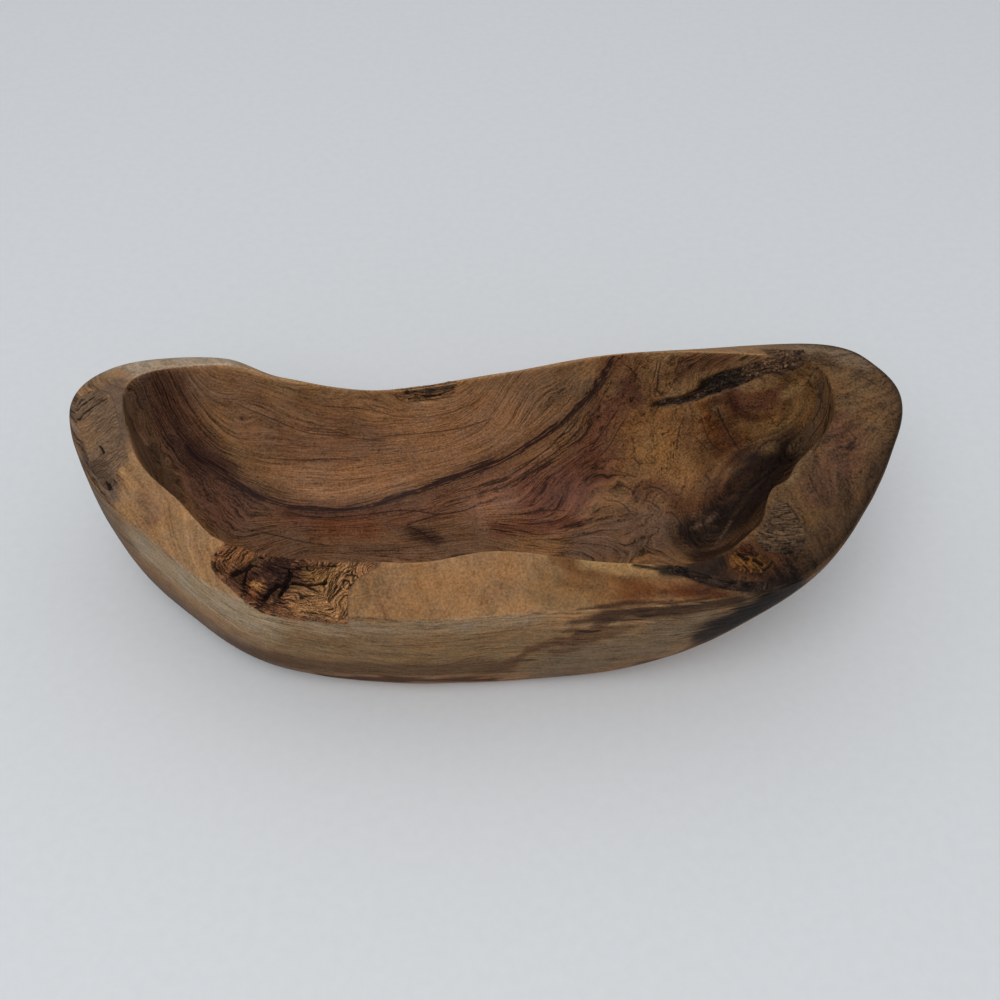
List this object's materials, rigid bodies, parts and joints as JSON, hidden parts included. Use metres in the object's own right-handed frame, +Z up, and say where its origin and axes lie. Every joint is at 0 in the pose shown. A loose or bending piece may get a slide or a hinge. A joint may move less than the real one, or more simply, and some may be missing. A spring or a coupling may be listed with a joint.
{
  "type": "dough bowl",
  "caption": "Long boat-shaped wooden dough bowl carved from a split log, with a hand-hollowed trough, a broad natural rim, patches of bark and grown-in knots.",
  "frame": {"origin": "middle of the flat oval foot, on the surface the bowl stands on", "axes": "+X along the bowl towards its taller, pointed right end, +Y towards the low back rim, +Z up out of the hollow"},
  "size_m": [0.301, 0.1189, 0.0747],
  "materials": {
    "olive_wood": "hand sanded and lightly oiled",
    "rim_bark": "rough natural bark",
    "weathered_bark": "dry grey-brown bark",
    "ingrown_bark": "dark crumbly ingrown bark",
    "knot_wood": "sanded end grain",
    "knot_bark": "rough orange-brown knot"
  },
  "bodies": {
    "root": {"bowl_body": "olive_wood", "front_bark": "rim_bark", "left_end_bark": "weathered_bark", "back_rim_bark": "ingrown_bark", "right_bark_seam": "ingrown_bark", "rim_knot": "knot_wood", "knot_bark": "knot_bark", "inner_bark_pocket": "ingrown_bark"}
  },
  "joints": []
}
